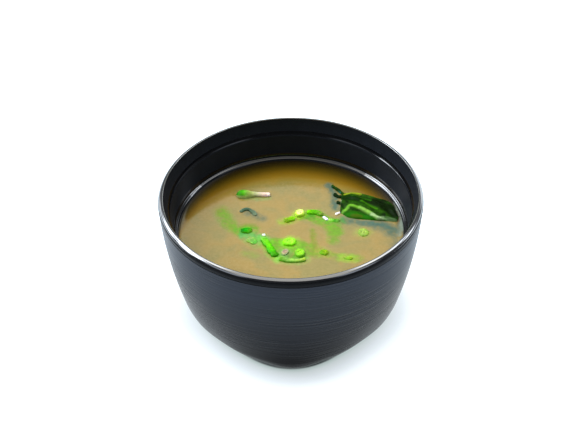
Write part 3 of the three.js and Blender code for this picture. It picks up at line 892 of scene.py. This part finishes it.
# A closed thin sheet from a grid of middle points, thinner at its edge
def sheetMesh(middle, rows, columns):
    grid = middle.reshape(rows, columns, 3)
    normals = np.cross(np.gradient(grid, axis=0), np.gradient(grid, axis=1))
    normals *= np.sign(normals[..., 2].mean()) / np.linalg.norm(normals, axis=2, keepdims=True)
    inward = np.minimum.outer(*(np.minimum(range(count), range(count)[::-1]) for count in (rows, columns)))
    thin = leaf["edgeThickness"]
    half = leaf["thickness"] / 2 * (thin + (1 - thin) * smoothStep(inward, 0, leaf["edgeRows"]))
    points = np.vstack([(grid + side * normals * half[..., None]).reshape(-1, 3) for side in (1, -1)])
    count = rows * columns
    upper = gridFaces(rows, columns)
    lower = [tuple(k + count for k in face[::-1]) for face in upper]
    ids = np.arange(count).reshape(rows, columns)
    border = np.concatenate([ids[0], ids[1:, -1], ids[-1, -2::-1], ids[-2:0:-1, 0]])
    rim = [(a, b, b + count, a + count) for a, b in zip(border, np.roll(border, -1))]
    return points, upper + lower + turnedFaces(rim)


# Goes from the first colours to a tone by a share for each point
def towards(colours, tone, share):
    return colours + (toneRows([tone]) - colours) * np.asarray(share)[:, None]


stripForm = {
    "power": 0.65,
    "end": (0.4, 0.3),         # how far the round ends reach: share of the width, and at most of the length
    "endThickness": 0.35,
    "droop": 0.1,
    # how much each of these varies, and over how many millimetres
    "width": (0.24, 1.8),
    "course": (0.1, 2.5),
    "back": (0.16, 1.4),
}


# A closed strip that follows a line, with round edges, a crowned back and round ends.
# Also gives how far along and how far across it each point lies.
def stripMesh(strip, steps=48, around=24, seed=0.0):
    wide, tall = strip["wide"], strip["tall"]
    shares = np.linspace(0, 1, steps)
    plan = alongLine(strip["line"], shares)
    tangent = np.gradient(plan, axis=0)
    tangent /= np.linalg.norm(tangent, axis=1, keepdims=True)
    side = np.column_stack([tangent[:, 1], -tangent[:, 0]])
    length = np.sum(np.linalg.norm(np.diff(plan, axis=0), axis=1))
    middle = soupLevel + strip["rise"] - tall / 2 + strip.get("arch", 0) * np.sin(math.pi * shares)
    fromEnd = np.minimum(shares, 1 - shares) * length
    capLength = min(wide * stripForm["end"][0], length * stripForm["end"][1])
    cap = np.sqrt(np.clip(1 - (1 - np.clip(fromEnd / capLength, 0, 1)) ** 2, 0.08, 1))
    across, up = squaredCircle(fullTurn(around), stripForm["power"])
    droop = -stripForm["droop"] * min(wide, 2 * tall) * across ** 2
    wobble, sway, bump = (
        np.array([amount * noiseAt(place / size, *seeds) for place in shares * length])[:, None]
        for (amount, size), seeds in zip((stripForm[key] for key in ("width", "course", "back")),
                                         ((seed, 0.5), (7.0, seed), (-seed, 3.0))))
    thin = stripForm["endThickness"]
    cap = cap[:, None]
    x = across * wide / 2 * cap * (1 + wobble) + sway * wide * cap
    z = up * tall / 2 * np.minimum(1, thin + cap * (1 - thin)) + droop + bump * tall * (up > 0)
    points = np.dstack([plan[:, None] + side[:, None] * x[..., None], middle[:, None] + z]).reshape(-1, 3)
    tips = [(*plan[0], middle[0]), (*plan[-1], middle[-1])]
    along = np.concatenate([np.repeat(shares, around), [0, 1]])
    aside = np.concatenate([np.tile(across, steps), [0, 0]])
    return np.vstack([points, tips]), tubeFaces(steps, around), along, aside


# Colours that lie along the leaf: a pale rib that forks at its foot, its own paler green with a painted
# highlight on it; a yellow-green far edge; and painted shade in its hollows
leafStrokes = [
    # painted shade in the hollows of the back blade
    ([(24.5, 20.0), (28.5, 18.9), (33.3, 17.0)], 5.0, 2.6, "#0c2604", 0.9),
    ([(37.7, 16.3), (42.0, 13.4), (46.3, 9.1)], 6.0, 2.4, "#0b1704", 0.9),
    ([(31.5, 16.3), (34.5, 14.2), (38.0, 11.6)], 1.2, 1.2, "#3c7a08", 0.75),
    ([(27.5, 20.9), (31.0, 19.6), (35.5, 17.6)], 0.9, 1.0, "#2f6a08", 0.6),
    ([(26.0, 16.6), (30.0, 15.0), (33.0, 13.2)], 1.0, 1.0, "#1c4a04", 0.6),
    ([(24.2, 22.8), (26.4, 23.3), (28.6, 23.1), (31.3, 22.1)], 1.1, 1.0, "#8a9a1c", 0.85),
    ([(24.0, 9.2), (30.0, 8.2), (37.0, 5.8)], 3.2, 2.2, "#1c6402", 0.85),
    ([(26.9, 8.2), (30.8, 7.7)], 1.4, 1.2, "#4a5c10", 0.7),
    # painted shade in the fold at the rib's foot
    ([(22.2, 15.8), (23.4, 13.0)], 1.2, 1.0, "#0f2207", 0.85),
    # pale lines along the lower lobe's edge, the rib and its fork: their own paler green, with a painted
    # highlight along each crest
    ([(22.9, 10.6), (25.4, 12.4)], 1.1, 1.0, "#6fa43c", 0.85),
    ([(23.9, 11.4), (26.2, 13.7), (30.4, 12.2)], 1.0, 1.1, "#6fae30", 0.95),
    ([(30.4, 12.2), (34.4, 9.0), (37.6, 6.6)], 1.1, 1.1, "#82b44a", 0.95),
    ([(35.6, 8.0), (38.4, 6.6), (40.4, 6.2)], 1.2, 1.1, "#a2bc88", 0.9),
    ([(40.4, 6.2), (43.5, 5.2), (47.2, 4.4)], 1.2, 1.4, "#6c8c5c", 0.75),
    ([(22.2, 18.0), (21.9, 16.6)], 1.0, 0.8, "#94a878", 0.7),
]
stalkStrokes = [
    ([(17.6, 28.9), (18.9, 26.7), (20.6, 24.9)], 1.3, 0.9, "#2f8478", 0.9),
    ([(20.3, 25.6), (21.6, 24.4)], 1.2, 0.9, "#3f9484", 0.9),
]


def makeLeaf():
    rows, columns = leaf["rows"], leaf["columns"]
    u = np.repeat(np.linspace(0, 1, rows), columns)
    v = np.tile(np.linspace(0, 1, columns), rows)
    middle = leafSurface(u, v)
    fromRib = v - leaf["ribShare"]
    toRib = distanceToLine(middle[:, :2], leaf["paleRib"])
    ribForm = np.exp(-(toRib / leaf["ribWidth"]) ** 2) * (1 - smoothStep(u, leaf["ribFade"], 1))
    sway, swayTurns = leaf["foldSway"]
    folds = np.sin(2 * math.pi * leaf["folds"] * fromRib + sway * np.sin(swayTurns * u))
    folds *= smoothStep(np.abs(fromRib), *leaf["foldStart"])
    middle[:, 2] += leaf["ribHeight"] * ribForm + leaf["foldHeight"] * folds * (1 - leaf["foldFade"] * u)
    middle[:, 2] += leaf["wrinkle"] * softNoise(middle, leaf["wrinkleSize"], 0.3)
    middle[:, 2] += leaf["curl"] * smoothStep(v, 1 - leaf["curlShare"], 1) * np.sin(math.pi * u)
    parts = [sheetMesh(middle, rows, columns)]
    tints = [np.tile(strokeTints(middle[:, :2], leafStrokes, 0.25, 0.0), (2, 1))]
    # the stalk, and torn scraps at the foot of the leaf
    for place, line in enumerate(leaf["loose"]):
        form = leaf["frill" if place else "stalk"]
        points, faces, _, _ = stripMesh({**form, "line": line}, seed=place * 1.3)
        parts.append((points, faces))
        tint = np.tile(hexColour(leaf["frillTone"]), (len(points), 1))
        tints.append(tint if place else strokeTints(points[:, :2], stalkStrokes, 0.1, 0.0))
    points, faces = joinMeshes(parts)
    material = newMaterial("wetWakameFrond", wetWakame, wakame["frond"])
    piece = addMesh("wakame_frond", points, faces, [material], {"tint": np.vstack(tints)})
    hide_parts("wakame_leaf")
    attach(piece, "root")
    print("leaf:", len(faces), "faces")


# A torn scrap that arches through the surface, dark teal where it is thick
def makeShred():
    points, faces, along, across = stripMesh(shred, seed=2.0)
    edgeShare = shred["edgeShare"] * smoothStep(-across, shred["edgeFrom"], 1)
    tone = towards(blendTones(shred["tones"], along), shred["edge"], edgeShare)
    tint = np.column_stack([tone, np.full(len(points), shred["cover"])])
    material = newMaterial("wetWakameScrap", wetWakame, wakame["scrap"])
    piece = addMesh("wakame_scrap", points, faces, [material], {"tint": tint})
    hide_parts("wakame_shred")
    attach(piece, "root")


scallion = {
    "fibres": {"Scale": scaleOf(0.7143), "Detail": 2.0},
    "fibreLight": {"From Min": 0.3, "From Max": 0.7, "To Min": 0.9, "To Max": 1.12},
    "blotches": {"Scale": scaleOf(1.923), "Detail": 1.0},
    "blotchLight": {"From Min": 0.35, "From Max": 0.65, "To Min": 0.82, "To Max": 1.1},
    "relief": {"Strength": 0.35, "Distance": 0.15 * mm},
    "surface": {"Roughness": 0.4, "IOR": 1.16, "Subsurface Weight": 0.7, "Subsurface Scale": 1.2 * mm,
                "Subsurface Radius": (1.0, 1.0, 0.5)},
    "edgeFrom": 0.6,           # where the edge's tone starts across a strip
    "edgeShare": 0.9,
}


# Wet scallion: glossy green skin with fine fibres, and paler juicy flesh where it is cut
def wetScallion(add, place, values):
    fibres, blotches = (add("TexNoise", {"Vector": place, **values[key]}) for key in ("fibres", "blotches"))
    tone = add("Attribute", attribute_name="tone").outputs["Color"]
    light = add("MapRange", {"Value": fibres, **values["fibreLight"]})
    patch = add("MapRange", {"Value": blotches, **values["blotchLight"]})
    gain = add("Math", {0: light, 1: patch}, operation="MULTIPLY")
    colour = add("VectorMath", {0: tone, "Scale": gain}, operation="SCALE")
    relief = add("Bump", {"Height": fibres, **values["relief"]})
    return {"Base Color": colour, "Normal": relief, **values["surface"]}


ringForm = {
    "power": 0.7,
    "unevenWall": 0.16,
    "outOfRound": 0.05,
    "bumps": 1.6,              # above 1, more of them round the slice
    "lift": 0.12,
    "lifts": 2,
    "flesh": (0.85, 0.5, 1.1),     # most of it, at the wall's middle, and how fast it grows towards the hole
    "fleshOnTop": 0.25,
    "coreOverlap": 0.6,        # how far the inner leaf reaches into the slice's wall
    "coreTall": 0.48,
}


# Takes plan places in a round slice to where it lies in the soup, stretched and turned
def inSlice(ring, x, y):
    turn = math.radians(ring["turn"])
    y = y * ring["along"] / ring["across"]
    return (ring["at"][0] + x * math.cos(turn) - y * math.sin(turn),
            ring["at"][1] + x * math.sin(turn) + y * math.cos(turn))


# A slice of the hollow stalk, a little out of round, with soft cut edges; paler towards its hole
def ringMesh(ring, seed, segments=72, around=24):
    angles = fullTurn(segments)
    out, up = squaredCircle(fullTurn(around), ringForm["power"])
    wobble, lift = (
        np.array([noiseAt(reach * math.cos(a) + shift, reach * math.sin(a), level) for a in angles])[:, None]
        for reach, shift, level in ((ringForm["bumps"], seed, seed), (ringForm["lifts"], -seed, 3.0)))
    wall = ring["wall"] * (1 + ringForm["unevenWall"] * wobble)
    radius = (ring["across"] - ring["wall"]) / 2 * (1 + ringForm["outOfRound"] * wobble) + out * wall / 2
    x, y = inSlice(ring, radius * np.cos(angles)[:, None], radius * np.sin(angles)[:, None])
    z = soupLevel + ring["rise"] - ring["tall"] / 2 + up * ring["tall"] / 2 + ringForm["lift"] * lift
    most, inWall, growth = ringForm["flesh"]
    flesh = most * np.clip(inWall - growth * out, 0, 1) + ringForm["fleshOnTop"] * np.maximum(up, 0)
    faces = turnedFaces(gridFaces(segments, around, closeRows=True, closeColumns=True))
    points, faces = joinMeshes([(np.dstack([x, y, z]).reshape(-1, 3), faces), coreMesh(ring)])
    share = np.ones(len(points))
    share[:segments * around] = np.tile(np.clip(flesh, 0, 1), segments)
    return points, faces, towards(toneRows([ring["skin"]]), ring["flesh"], share)


# The young inner leaf that fills a slice's hole
def coreMesh(ring, rows=8, around=32):
    hole = ring["across"] / 2 - ring["wall"] + ringForm["coreOverlap"]
    middle = soupLevel + ring["rise"] - ring["tall"] / 2
    tall = ringForm["coreTall"] * ring["tall"]
    tilt = np.repeat(np.linspace(0, math.pi, rows + 2)[1:-1], around)
    angles = np.tile(fullTurn(around), rows)
    x, y = inSlice(ring, hole * np.sin(tilt) * np.cos(angles), hole * np.sin(tilt) * np.sin(angles))
    shell = np.column_stack([x, y, middle + tall * np.cos(tilt)])
    tips = [(*ring["at"], middle + tall), (*ring["at"], middle - tall)]
    return np.vstack([shell, tips]), tubeFaces(rows, around, flip=True)


# The stalk end: a spindle along X, green at its bulb and white where the root was
def stalkMesh(steps=90, around=36):
    shares = np.linspace(0, 1, steps)
    curve = alongLine([(share, width / 2) for share, width in stalkEnd["widths"]], np.linspace(0, 1, 400))
    half = np.interp(shares, curve[:, 0], curve[:, 1])
    fromEnd = np.clip(np.minimum(shares, 1 - shares) / stalkEnd["endRound"], 0, 1)
    half *= np.sqrt(np.clip(1 - (1 - fromEnd) ** 2, 0.15, 1))
    angles = fullTurn(around)
    (atX, atY), level = stalkEnd["at"], soupLevel + stalkEnd["rise"]
    bend, bendTurns = stalkEnd["bend"]
    x = np.repeat(atX + (shares - 0.5) * stalkEnd["long"], around)
    y = atY + np.outer(half, np.cos(angles)).ravel() * stalkEnd["flatness"]
    y += np.repeat(bend * np.sin(bendTurns * shares), around)
    z = level + np.outer(half, np.sin(angles)).ravel()
    ends = [(atX + side * stalkEnd["long"] / 2, atY, level) for side in (-1, 1)]
    along = np.concatenate([np.repeat(shares, around), [0, 1]])
    aside = np.concatenate([np.tile(np.cos(angles), steps), [0, 0]])
    edgeShare = smoothStep(np.abs(aside), stalkEnd["edgeFrom"], 1) * (along < stalkEnd["edgeUntil"])
    tone = towards(blendTones(stalkEnd["tones"], along), stalkEnd["edge"], edgeShare)
    return np.vstack([np.column_stack([x, y, z]), ends]), tubeFaces(steps, around), tone


def makeScallions():
    material = newMaterial("wetScallionSkin", wetScallion, scallion)
    forms = {name: ringMesh(ring, seed=place * 1.7) for place, (name, ring) in enumerate(rings.items())}
    for place, (name, strip) in enumerate(strips.items()):
        points, faces, along, across = stripMesh(strip, seed=(place + len(rings)) * 1.7)
        edgeShare = scallion["edgeShare"] * smoothStep(np.abs(across), scallion["edgeFrom"], 1)
        forms[name] = points, faces, towards(blendTones(strip["tones"], along), strip["edge"], edgeShare)
    forms["scallion_stalk_end"] = stalkMesh()
    for name, (points, faces, tone) in forms.items():
        tone = np.column_stack([tone, np.ones(len(tone))])
        piece = addMesh(name.replace("scallion", "green_onion"), points, faces, [material], {"tone": tone})
        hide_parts(name)
        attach(piece, "root")
    print("scallions:", len(forms))


# The pale bits, whose white tones are painted glints
def makeBits():
    parts, tones = [], []
    for place, bit in enumerate(bits["each"]):
        points, faces, _, _ = stripMesh({**bits, **bit}, steps=16, around=16, seed=place)
        parts.append((points, faces))
        tones += [hexColour(bit["tone"])] * len(points)
    piece = addMesh("green_onion_glint_bits", *joinMeshes(parts), [bpy.data.materials["wetScallionSkin"]],
                    {"tone": np.array(tones)})
    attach(piece, "root")
    print("bits:", len(parts))


makeCamera()
makeStudio()
makeBowl()
makeSoup()
makeLeaf()
makeShred()
makeScallions()
makeBits()

bpy.context.scene.view_settings.view_transform = "Standard"
